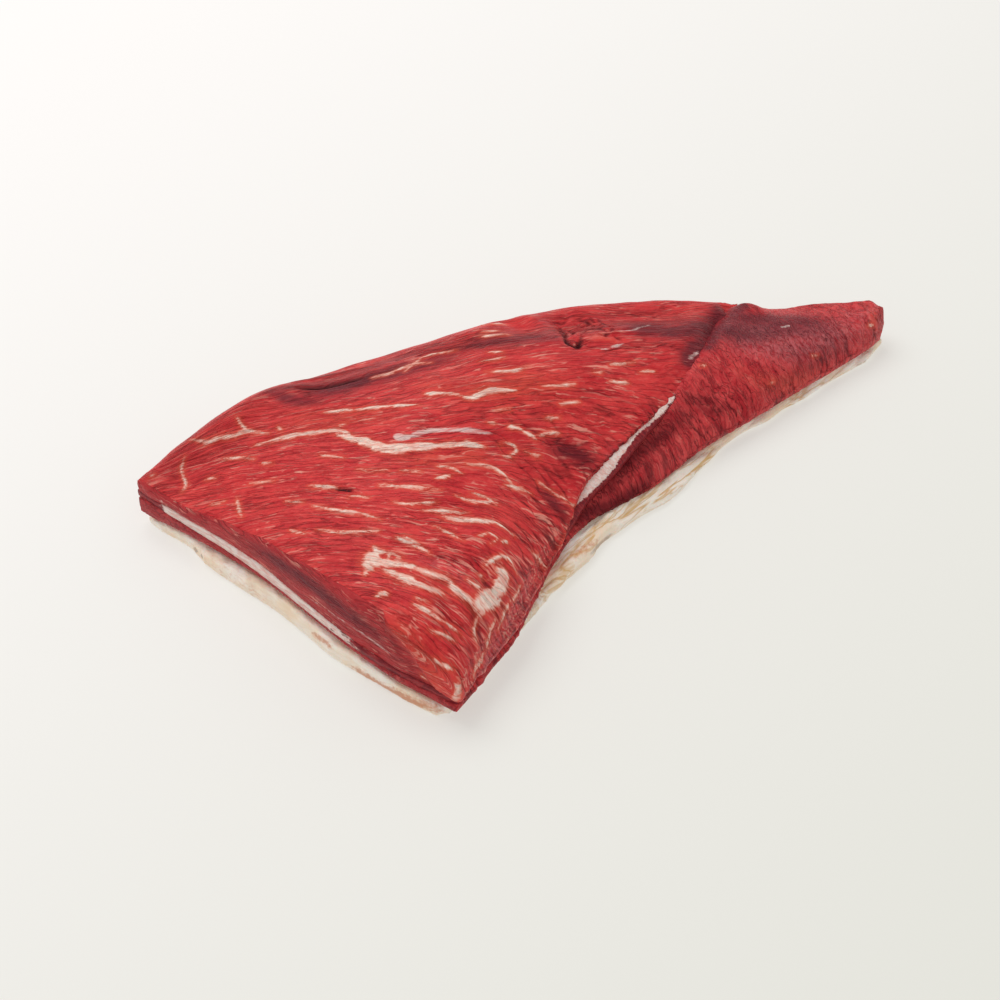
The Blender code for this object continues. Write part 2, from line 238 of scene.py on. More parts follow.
class Graph:
    """The nodes of one material."""

    FLESH = {"Specular IOR Level": 0.18, "IOR": 1.36, "Coat Roughness": 0.2,
             "Subsurface Radius": (1.0, 0.25, 0.18), "Subsurface Scale": 0.0015}

    def __init__(self, name: str) -> None:
        """Makes an empty node material."""
        self.material = bpy.data.materials.new(name)
        self.material.use_nodes = True
        self.tree = self.material.node_tree
        self.tree.nodes.clear()

    def node(self, kind: str, settings: dict[str, object] | None = None,
             sockets: dict[str | int, object] | None = None) -> bpy.types.Node:
        """Adds a node.

        Args:
            kind: The node's type.
            settings: Its own settings, which are set first.
            sockets: Values or wires for its inputs, by name or number.

        Returns:
            The node.
        """
        made = self.tree.nodes.new(kind)
        for key, value in (settings or {}).items():
            setattr(made, key, value)
        for key, value in (sockets or {}).items():
            if isinstance(value, Wire):
                self.tree.links.new(value.socket, made.inputs[key])
            else:
                made.inputs[key].default_value = value
        return made

    def math(self, operation: str, a: Wire | float, b: Wire | float) -> Wire:
        """A Math node on two values."""
        return Wire(self, self.node("ShaderNodeMath", {"operation": operation}, {0: a, 1: b}).outputs[0])

    def mix(self, share: Wire | float, a: Wire | Colour, b: Wire | Colour) -> Wire:
        """Mixes two colours.

        Args:
            share: How much of the second colour there is.
            a: The first colour.
            b: The second colour.

        Returns:
            The mixed colour.
        """
        first, second = (c if isinstance(c, Wire) else (*c, 1.0) for c in (a, b))
        made = self.node("ShaderNodeMix", {"data_type": "RGBA"}, {0: share, 6: first, 7: second})
        return Wire(self, made.outputs[2])

    def attribute(self, name: str) -> Wire:
        """Reads a vector attribute of the mesh."""
        return Wire(self, self.node("ShaderNodeAttribute", {"attribute_name": name}).outputs["Vector"])

    def join(self, x: Wire | float, y: Wire | float, z: Wire | float) -> Wire:
        """A vector from three numbers."""
        return Wire(self, self.node("ShaderNodeCombineXYZ", None, {0: x, 1: y, 2: z}).outputs[0])

    def plus(self, a: Wire, b: Wire) -> Wire:
        """The sum of two vectors."""
        return Wire(self, self.node("ShaderNodeVectorMath", {"operation": "ADD"}, {0: a, 1: b}).outputs[0])

    def swap(self, share: Wire, a: Wire, b: Wire) -> Wire:
        """Mixes two vectors."""
        made = self.node("ShaderNodeMix", {"data_type": "VECTOR"}, {0: share, 4: a, 5: b})
        return Wire(self, made.outputs[1])

    def split(self, vector: Wire) -> tuple[Wire, Wire, Wire]:
        """The three numbers of a vector."""
        made = self.node("ShaderNodeSeparateXYZ", None, {0: vector})
        return tuple(Wire(self, out) for out in made.outputs)

    def layers(self, colour: Wire, *over: tuple[Wire | float, Wire | Colour]) -> Wire:
        """Lays colours over a first one, each by its share."""
        for share, tint in over:
            colour = self.mix(share, colour, tint)
        return colour

    def noise(self, vector: Wire, cell: Cell, detail: float = 2.0, roughness: float = 0.5,
              distortion: float = 0.0) -> Wire:
        """Noise between 0 and 1.

        Args:
            vector: Where it is read, in millimetres.
            cell: The size of its features along the three axes, in millimetres.
            detail: How many finer layers it has.
            roughness: How strong they are.
            distortion: How much it is warped.

        Returns:
            The noise.
        """
        scaled = self.node("ShaderNodeVectorMath", {"operation": "MULTIPLY"},
                           {0: vector, 1: tuple(1 / c for c in cell)})
        made = self.node("ShaderNodeTexNoise", None,
                         {"Vector": Wire(self, scaled.outputs[0]), "Scale": 1.0, "Detail": detail,
                          "Roughness": roughness, "Distortion": distortion})
        return Wire(self, made.outputs["Fac"])

    def bump(self, height: Wire, depth: float) -> Wire:
        """The normal over a height between 0 and 1 that stands for a depth in metres."""
        made = self.node("ShaderNodeBump", None, {"Height": height, "Distance": depth, "Strength": 1.0})
        return Wire(self, made.outputs[0])

    def surface(self, colour: Wire | Colour, roughness: Wire | float, normal: Wire | None = None,
                coat: float = 0.0, scatter: float = 0.0, glow: float = 0.0) -> bpy.types.Material:
        """Ends the material in a Principled shader.

        Args:
            colour: The base colour.
            roughness: The roughness.
            normal: The normal, if it is bumped.
            coat: The weight of the wet film.
            scatter: The weight of light that passes under the surface.
            glow: How much of its own light it gives.

        Returns:
            The material.
        """
        sockets = {"Base Color": colour if isinstance(colour, Wire) else (*colour, 1.0),
                   "Roughness": roughness, "Coat Weight": coat, "Subsurface Weight": scatter} | self.FLESH
        if normal is not None:
            sockets["Normal"] = normal
        if glow:
            sockets |= {"Emission Color": sockets["Base Color"], "Emission Strength": glow}
        shader = self.node("ShaderNodeBsdfPrincipled", None, sockets)
        self.node("ShaderNodeOutputMaterial", None, {"Surface": Wire(self, shader.outputs[0])})
        return self.material


@dataclass(frozen=True)
class MuscleFinish:
    """Raw lean beef, as it is seen under soft white light."""

    # The darkest red is painted shade: it darkens the grooves between fibres, the furrows and the shade
    # strokes.
    shade_red: Colour = display(104, 14, 20)
    lean: Colour = display(192, 38, 46)
    bright: Colour = display(230, 72, 70)
    orange: Colour = display(218, 84, 62)
    purple: Colour = display(100, 30, 42)
    haze: Colour = display(206, 112, 116)
    # The cut face's colour: partly its own darker, more purple colour, partly painted shade.
    face: Colour = display(158, 48, 54)
    # Near-black painted shade for the pits and the crease under the fold lip.
    pit: Colour = display(64, 6, 12)
    # Pale pink for the hair lines: partly pale strands of the meat, partly painted highlight on the fibre
    # ridges.
    strand: Colour = display(224, 120, 108)
    vein: Colour = display(240, 164, 146)
    fat: Colour = display(252, 226, 212)
    sinew: Colour = display(236, 206, 200)
    roughness: float = 0.40
    coat: float = 0.03
    scatter: float = 0.10
    marbling: float = 0.585
    threads: float = 0.55
    run: float = 1.0
    warp: float = 2.4
    zone_cell: Cell = (30, 16, 16)
    patch_cell: Cell = (26, 12, 12)
    cloud_cell: Cell = (9, 4.5, 4.5)
    mottle_cell: Cell = (1.9, 1.1, 1.1)
    hair_cell: Cell = (3.2, 0.42, 0.42)
    vein_cell: Cell = (12, 0.95, 0.95)
    vein_zone_cell: Cell = (24, 8, 8)
    worn_cell: Cell = (8, 1.5, 1.5)
    gap_cell: Cell = (11, 1.5, 1.5)
    relief: float = 0.0012

    def material(self, name: str) -> bpy.types.Material:
        """Builds the node material.

        Args:
            name: The material's name.

        Returns:
            The material.
        """
        g = Graph(name)
        across, down, steep = g.split(g.attribute("face"))
        veil, coarse, _ = g.split(g.attribute("veil"))
        cut = steep.step(0.50, 0.56)
        along = g.swap(cut, g.attribute("fibre"), g.join(across, down, 0.0))
        wave = (g.noise(along, (9 * self.run, 6, 6), 2) - 0.5) * self.warp
        along = g.plus(along, g.join(wave * 0.5, wave, wave * 0.6))
        fat, sinew, pit = g.split(g.attribute("marks"))
        shade, glow, purple = g.split(g.attribute("tones"))
        patch = g.noise(along, self.patch_cell, 2)
        cloud = g.noise(along, self.cloud_cell, 3, 0.6)
        bundle = g.noise(along, (20 * self.run, 2.4, 2.4), 3, 0.55, 0.3)
        strand = g.noise(along, (6 * self.run, 0.9, 0.9), 3, 0.62, 0.4)
        hair = g.noise(along, self.hair_cell, 3, 0.65)
        mottle = g.noise(along, self.mottle_cell, 3, 0.65)
        furrow = abs(g.noise(along, (18 * self.run, 2.1, 2.1), 2, 0.5, 0.2) - 0.5).step(0.045, 0.0)
        thread = abs(g.noise(along, (24 * self.run, 2.6, 2.6), 2, 0.5, 0.25) - 0.5).step(0.024, 0.004)
        drawn = g.noise(along, self.zone_cell, 1).step(0.38, 0.62)
        tone = bundle * 0.32 + patch * 0.22 + cloud * 0.22 + mottle * 0.24
        clear = (1 - shade.step(0.2, 0.8)) * (1 - purple.step(0.1, 0.7))
        veins = g.noise(along, self.vein_cell, 2, 0.55, 0.35) + coarse * 0.045
        veins = veins.step(self.marbling, self.marbling + 0.08)
        veins = veins * (g.noise(along, self.vein_zone_cell, 1) + coarse * 0.1).step(0.42, 0.60) * clear
        thread = thread * (cloud + coarse * 0.05).step(0.50, 0.60) * clear * self.threads
        colour = g.layers(
            g.mix(tone.step(0.37, 0.62), self.lean, self.bright),
            # The cut face is tinted darker and more purple: partly its own colour, partly painted shade.
            (cut * 0.6, self.face),
            # Painted shade in the grooves between the fibres, where the strand noise is low.
            (strand.step(0.54, 0.30) * (drawn * 0.32 + 0.08), self.shade_red),
            # Painted shade in the furrows between fibre bundles, stronger under the shade strokes.
            (furrow * (drawn * 0.35 + shade.step(0.0, 0.6) * 0.4 + 0.12), self.shade_red),
            (glow * tone.step(0.34, 0.60) * 0.75, self.orange),
            # Painted shade from the shade strokes and the creases, broken up along the fibres.
            ((shade + (strand - 0.5) * 0.9 * shade.step(0.0, 0.3)).step(0.05, 1.1) * 0.9, self.shade_red),
            ((purple + (cloud + bundle - 1.0) * 1.3 * purple).step(0.05, 0.95) * 0.85, self.purple),
            (veil * mottle.step(0.30, 0.70) * 0.6, self.haze),
            # Hair lines on the fibre ridges: partly pale strands, partly painted highlight, weaker where
            # shade is painted.
            (hair.step(0.55, 0.74) * (0.36 - shade.step(0.2, 1.0) * 0.22), self.strand),
            (veins * 0.65, self.vein),
            (thread, self.vein))
        ragged = (strand - 0.5) * 2.3 + (hair - 0.5) * 1.6 + (cloud - 0.5) * 1.5 + (mottle - 0.5) * 1.0
        worn = g.noise(along, self.worn_cell, 3, 0.62).step(0.36, 0.56) * 0.65 + 0.35
        gap = 1 - abs(g.noise(along, self.gap_cell, 2) - 0.47).step(0.05, 0.0) * fat.step(0.3, 1.2) * 0.8
        flesh = g.mix(mottle.step(0.44, 0.64) * 0.42, self.fat, self.vein)
        flesh = g.mix(bundle.step(0.56, 0.66) * 0.35, flesh, self.sinew)
        colour = g.layers(
            colour,
            ((fat + ragged).step(-2.2, 0.1) * 0.60, self.orange),
            ((fat + ragged).step(-0.5, 0.15) * 0.8, self.vein),
            ((fat + ragged * 0.8).step(-0.05, 0.50) * worn * gap, flesh),
            ((sinew + ragged * 0.6).step(-0.3, 0.4) * worn * 0.85, self.sinew),
            # Painted shade in the pits: near black where the pit strokes dent the meat.
            (pit.step(0.05, 0.9), self.pit))
        height = bundle * 0.30 + strand * 0.35 + hair * 0.18 + mottle * 0.2 - furrow * 0.25 + 0.2
        rough = strand * 0.2 + (self.roughness - 0.1)
        return g.surface(colour, rough, g.bump(height, self.relief), self.coat, self.scatter)


@dataclass(frozen=True)
class SeamFinish:
    """The white fat and sinew between the two muscles."""

    white: Colour = display(238, 218, 210)
    pink: Colour = display(222, 164, 154)
    meat: Colour = display(160, 48, 52)
    dark: Colour = display(116, 24, 34)

    def material(self, name: str) -> bpy.types.Material:
        """Builds the node material.

        Args:
            name: The material's name.

        Returns:
            The material.
        """
        g = Graph(name)
        along = g.attribute("fibre")
        white, _, _ = g.split(g.attribute("tones"))
        strand = g.noise(along, (5, 0.8, 0.8), 3, 0.6, 0.3)
        patch = g.noise(along, (6, 2, 2), 3, 0.6)
        colour = g.mix(strand.step(0.40, 0.68) * 0.8, self.white, self.pink)
        meat = g.mix(strand.step(0.35, 0.65), self.dark, self.meat)
        colour = g.mix((white + (patch - 0.5) * 1.1 + (strand - 0.5) * 1.1).step(0.30, 0.55), meat, colour)
        return g.surface(colour, strand * 0.2 + 0.35, g.bump(strand, 0.0006), 0.15, 0.10)


@dataclass(frozen=True)
class FatFinish:
    """The cream fat cap, with tan creases, thin spots where it was trimmed, and painted contact shadow in
    rust and grey along its lower edge.
    """

    cream: Colour = display(249, 228, 203)
    light: Colour = display(254, 244, 233)
    tan: Colour = display(218, 174, 112)
    # Warm brown: partly the fat's own tinge, partly painted contact shadow along its lower edge.
    rust_and_painted_shade: Colour = display(210, 140, 104)
    # Grey: partly small specks, partly painted contact shadow along the fat's lower edge.
    grey_and_painted_shade: Colour = display(176, 156, 142)

    def material(self, name: str) -> bpy.types.Material:
        """Builds the node material.

        Args:
            name: The material's name.

        Returns:
            The material.
        """
        g = Graph(name)
        along = g.attribute("fibre")
        # The shade and purple strokes on the fat arrive here as the amounts of rust and grey.
        rust_and_painted_shade, tan, grey_and_painted_shade = g.split(g.attribute("tones"))
        patch = g.noise(along, (16, 9, 9), 3)
        crease = g.noise(along, (24, 1.8, 1.8), 3, 0.6, 0.5)
        furrow = abs(g.noise(along, (26, 3.4, 3.4), 2, 0.5, 0.6) - 0.5).step(0.06, 0.0)
        grain = g.noise(along, (1.6, 1.1, 1.1), 3, 0.6)
        colour = g.layers(
            g.mix(patch.step(0.36, 0.64), self.cream, self.light),
            (crease.step(0.52, 0.66) * (0.12 + tan * 0.45), self.tan),
            (furrow * (0.10 + tan * 0.75), self.tan),
            # Rust and grey: the fat's own tinge and specks, and painted contact shadow where the fat meets
            # the floor.
            ((rust_and_painted_shade * 1.2 + (grain - 0.5) * 1.6 * rust_and_painted_shade.step(0.0, 0.4)).step(0.2, 1.0) * 0.8, self.rust_and_painted_shade),
            ((grey_and_painted_shade * 1.2 + (grain - 0.5) * 1.2 * grey_and_painted_shade).step(0.3, 1.0) * 0.7, self.grey_and_painted_shade))
        height = crease * 0.5 + grain * 0.35 - furrow * tan * 0.15 + 0.2
        return g.surface(colour, grain * 0.2 + 0.42, g.bump(height, 0.0009), 0.08, 0.12)


class Mark(Enum):
    """What a stroke leaves on the meat."""

    FAT = "fat"
    SINEW = "sinew"
    PIT = "pit"
    SHADE = "shade"
    GLOW = "glow"
    PURPLE = "purple"
    COARSE = "coarse"
    FOLD = "fold"
    LOBE = "lobe"
    SWELL = "swell"
    CRAG = "crag"
    BARE = "bare"
    VEIL = "veil"


LINES = (Mark.FAT, Mark.SINEW)
CHANNELS = {"marks": (Mark.FAT, Mark.SINEW, Mark.PIT), "tones": (Mark.SHADE, Mark.GLOW, Mark.PURPLE),
            "veil": (Mark.VEIL, Mark.COARSE, Mark.CRAG)}


@dataclass(frozen=True)
class Stroke:
    """A stroke over the surface, as the camera sees it: its points and width in pixels of the frame."""

    mark: Mark
    width: float
    points: tuple[Pixel, ...]
    strength: float = 1.0
    blunt: bool = False
    soft: float = 1.0


@dataclass
class Skin:
    """The surface of a piece, on which strokes seen by the camera are laid."""

    camera: Camera
    points: np.ndarray
    faces: list[tuple[int, ...]]
    step: float = 1.6
    pixel: float = 0.245 * MM
    fade_reach: float = 2.4
    margin: float = 4 * MM
    taper_share: float = 0.25
    uneven: float = 0.45
    uneven_cell: float = 5 * MM
    wobble: Noise = field(default_factory=lambda: Noise(11))

    def __post_init__(self) -> None:
        """Prepares the surface for rays."""
        self.tree = BVHTree.FromPolygons([Vector(p) for p in self.points], self.faces)

    def cast(self, pixels: tuple[Pixel, ...]) -> np.ndarray:
        """Lays a line of pixels on the surface.

        Args:
            pixels: The line's corners.

        Returns:
            Points of the smooth line on the surface, one a row.
        """
        start = Vector(self.camera.place)
        hits = [self.tree.ray_cast(start, self.camera.ray(p))[0]
                for p in curve_through(np.array(pixels, float), self.step)]
        return np.array([h for h in hits if h is not None]).reshape(-1, 3)

    def lay(self, stroke: Stroke) -> np.ndarray:
        """Reads a stroke at each point of the skin.

        Args:
            stroke: The stroke.

        Returns:
            For a line, how far inside its edge each point is, in millimetres. Otherwise its strength.
        """
        lines = stroke.mark in LINES
        none = OUTSIDE if lines else 0.0
        out = np.full(len(self.points), none)
        path = self.cast(stroke.points)
        if not len(path):
            return out
        half = stroke.width * self.pixel
        reach = half * (1 if lines else self.fade_reach) + self.margin
        near = ((self.points > path.min(0) - reach) & (self.points < path.max(0) + reach)).all(1)
        t = np.linspace(0, 1, len(path))
        taper = np.clip(np.minimum(t, 1 - t) / self.taper_share, 0, 1) ** 0.6
        if stroke.blunt:
            taper = np.ones(len(path))
        if lines:
            spots = np.column_stack([path[:, :2] / self.uneven_cell, np.full(len(path), stroke.width)])
            taper = taper * (1 + self.uneven * self.wobble(spots))
        best = np.full(near.sum(), none)
        for place, share in zip(path, taper):
            d = np.linalg.norm(self.points[near] - place, axis=1)
            if lines:
                best = np.maximum(best, (half * share - d) / MM * stroke.soft)
            else:
                best = np.maximum(best, np.exp(-((d / half) ** 2)) * (0.5 + 0.5 * share))
        out[near] = best if lines else best * stroke.strength
        return out

    def sheet(self, strokes: tuple[Stroke, ...], mark: Mark) -> np.ndarray:
        """All the strokes of one mark together.

        Args:
            strokes: The strokes.
            mark: The mark that is wanted.

        Returns:
            The largest value at each point.
        """
        out = np.full(len(self.points), OUTSIDE if mark in LINES else 0.0)
        for stroke in strokes:
            if stroke.mark is mark:
                laid = self.lay(stroke)
                out = out + laid if mark is Mark.SWELL else np.maximum(out, laid)
        return out


@dataclass
class FibreMap:
    """Coordinates that follow the grain: along it, across it, and down it."""

    skin: Skin
    guides: tuple[Path, ...]
    along: tuple[float, float] = (0.75, -0.66)
    ease: float = 2e-4
    knots: int = 12

    def __post_init__(self) -> None:
        """Fits how far across the grain each place is to the guides."""
        laid = [self.skin.cast(pairs(g))[::3, :2] for g in self.guides]
        laid = [g for g in laid if len(g) > 1]
        level, levels = 0.0, [0.0]
        for before, after in itertools.pairwise(laid):
            gap = np.linalg.norm(after[:, None] - before[None], axis=2).min(axis=1)
            level += float(np.median(gap))
            levels.append(level)
        thin = [g[:: max(1, len(g) // self.knots)] for g in laid]
        self.places = np.vstack(thin)
        values = np.concatenate([np.full(len(g), v) for g, v in zip(thin, levels)])
        count = len(self.places)
        system = np.zeros((count + 3, count + 3))
        system[:count, :count] = self.bend(self.places) + self.ease * np.eye(count)
        system[:count, count:] = np.column_stack([np.ones(count), self.places])
        system[count:, :count] = system[:count, count:].T
        self.weights = np.linalg.solve(system, np.append(values, np.zeros(3)))

    def bend(self, at: np.ndarray) -> np.ndarray:
        """The bending of a thin plate between places and the guides' points."""
        square = ((at[:, None] - self.places[None]) ** 2).sum(axis=2) + 1e-12
        return 0.5 * square * np.log(square)

    def read(self, points: np.ndarray) -> np.ndarray:
        """Reads the grain at points of the piece.

        Args:
            points: The points, one a row.

        Returns:
            Along, across and down the grain, in millimetres, one row a point.
        """
        flat = points[:, :2]
        across = self.bend(flat) @ self.weights[:-3] + self.weights[-3] + flat @ self.weights[-2:]
        return np.column_stack([flat @ np.array(self.along), across, np.zeros(len(flat))]) / MM


@dataclass
class Layer:
    """One layer of the cut, made from its solid of the frame."""

    camera: Camera
    node: str
    voxel: float = 0.00080
    levels: int = 1
    smoothing: int = 3
    sink: float = 0.0007
    underside: Span = (0.1, 0.6)
    hold: float = 0.4
    sharp: float = 38.0
    merge_within: float = 2e-5
    covered_within: float = 0.0016
    level_from: float = 0.6
    hidden_share: float = 0.12

    def copy_solid(self) -> bpy.types.Object:
        """Copies the layer's solid into a new object, merged and subdivided.

        Returns:
            The new object, selected and active.
        """
        bpy.ops.object.select_all(action="DESELECT")
        solid = frame["nodes"][self.node]
        made = bpy.data.objects.new(f"{self.node}_meat", solid.data.copy())
        made.data.materials.clear()
        bpy.context.scene.collection.objects.link(made)
        made.select_set(True)
        bpy.context.view_layer.objects.active = made
        bpy.ops.object.mode_set(mode="EDIT")
        bpy.ops.mesh.select_all(action="SELECT")
        bpy.ops.mesh.remove_doubles(threshold=self.merge_within)
        bpy.ops.mesh.tris_convert_to_quads()
        bpy.ops.mesh.select_all(action="DESELECT")
        bpy.ops.mesh.select_mode(type="EDGE")
        bpy.ops.mesh.edges_select_sharp(sharpness=math.radians(self.sharp))
        bpy.ops.transform.edge_crease(value=1.0)
        bpy.ops.object.mode_set(mode="OBJECT")
        for name in [a.name for a in made.data.attributes if a.name in ("custom_normal", "sharp_edge")]:
            made.data.attributes.remove(made.data.attributes[name])
        self.hold_corners(made)
        self.apply(made, "SUBSURF", levels=self.levels, render_levels=self.levels)
        return made

    def hold_corners(self, made: bpy.types.Object) -> None:
        """Widens the cage so that the rounded form still passes through the solid's own corners."""
        goal = self.read(made)[0]
        trial = made.copy()
        trial.data = made.data.copy()
        bpy.context.scene.collection.objects.link(trial)
        bpy.context.view_layer.objects.active = trial
        self.apply(trial, "SUBSURF", levels=1, render_levels=1)
        lost = goal - self.read(trial)[0][: len(goal)]
        bpy.data.objects.remove(trial)
        self.carve(made, goal + lost * np.array([self.hold, self.hold, 0.0]))
        bpy.context.view_layer.objects.active = made

    @staticmethod
    def apply(made: bpy.types.Object, kind: str, **settings: object) -> None:
        """Adds a modifier with its settings and applies it."""
        modifier = made.modifiers.new(kind.lower(), kind)
        for key, value in settings.items():
            setattr(modifier, key, value)
        bpy.ops.object.modifier_apply(modifier=modifier.name)

    def refine(self, made: bpy.types.Object) -> None:
        """Gives the piece even small faces, and larger ones where another layer hides it."""
        self.apply(made, "REMESH", mode="VOXEL", voxel_size=self.voxel, adaptivity=0.0)
        self.apply(made, "SMOOTH", factor=0.5, iterations=self.smoothing)
        normals = np.zeros(len(made.data.polygons) * 3)
        centres = np.zeros(len(made.data.polygons) * 3)
        made.data.polygons.foreach_get("normal", normals)
        made.data.polygons.foreach_get("center", centres)
        hidden = self.hidden(centres.reshape(-1, 3), normals.reshape(-1, 3))
        for part in (made.data.vertices, made.data.edges, made.data.polygons):
            part.foreach_set("select", np.zeros(len(part), bool))
        made.data.polygons.foreach_set("select", hidden)
        bpy.ops.object.mode_set(mode="EDIT")
        bpy.ops.mesh.select_mode(type="FACE")
        bpy.ops.mesh.decimate(ratio=self.hidden_share)
        bpy.ops.object.mode_set(mode="OBJECT")

    def hidden(self, centres: np.ndarray, normals: np.ndarray) -> np.ndarray:
        """Finds the faces that another layer covers.

        Args:
            centres: The faces' centres.
            normals: The faces' normals.

        Returns:
            Whether each face is covered.
        """
        found = np.zeros(len(centres), bool)
        for name in frame["nodes"]:
            if name == self.node:
                continue
            tree = tree_of(name)
            for i in np.flatnonzero(~found & (np.abs(normals[:, 2]) > self.level_from)):
                found[i] = tree.ray_cast(centres[i], normals[i], self.covered_within)[0] is not None
        return found

    def read(self, made: bpy.types.Object) -> tuple[np.ndarray, np.ndarray]:
        """The places and normals of the piece's vertices."""
        count = len(made.data.vertices) * 3
        places, normals = np.zeros(count), np.zeros(count)
        made.data.vertices.foreach_get("co", places)
        made.data.vertex_normals.foreach_get("vector", normals)
        return places.reshape(-1, 3), normals.reshape(-1, 3)

    def skin(self, made: bpy.types.Object, places: np.ndarray) -> Skin:
        """The piece's surface, ready for strokes."""
        return Skin(self.camera, places, [tuple(p.vertices) for p in made.data.polygons])

    def write(self, made: bpy.types.Object, name: str, rows: np.ndarray) -> None:
        """Writes a vector attribute of the piece's vertices."""
        made.data.attributes.new(name, "FLOAT_VECTOR", "POINT").data.foreach_set(
            "vector", rows.astype(np.float32).ravel())

    def carve(self, made: bpy.types.Object, places: np.ndarray) -> None:
        """Moves the piece's vertices to their carved places."""
        made.data.vertices.foreach_set("co", places.astype(np.float32).ravel())
        made.data.update()

    def finish(self, made: bpy.types.Object, material: bpy.types.Material) -> None:
        """Dresses the piece and puts it on the frame.

        Args:
            made: The piece.
            material: Its material.
        """
        made.data.materials.append(material)
        made.data.shade_smooth()
        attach(made, "root")
        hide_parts(self.node)
        made.data.calc_loop_triangles()
        LOG.info("%s: %d triangles", made.name, len(made.data.loop_triangles))


def strokes(mark: Mark, rows: tuple[tuple, ...], blunt: bool = False,
            soft: float = 1.0) -> tuple[Stroke, ...]:
    """Several strokes of one mark.

    Args:
        mark: The mark.
        rows: For each kind of stroke its width, its strength, and its paths, each as x, y, x, y and so on.
        blunt: Whether the ends are as wide as the middle.
        soft: How sharp the edges of a line are.

    Returns:
        The strokes.
    """
    return tuple(Stroke(mark, width, pairs(path), strength, blunt, soft)
                 for width, strength, *paths in rows for path in paths)


def pairs(path: Path) -> tuple[Pixel, ...]:
    """The corners of a path given as x, y, x, y and so on."""
    return tuple(zip(path[::2], path[1::2]))


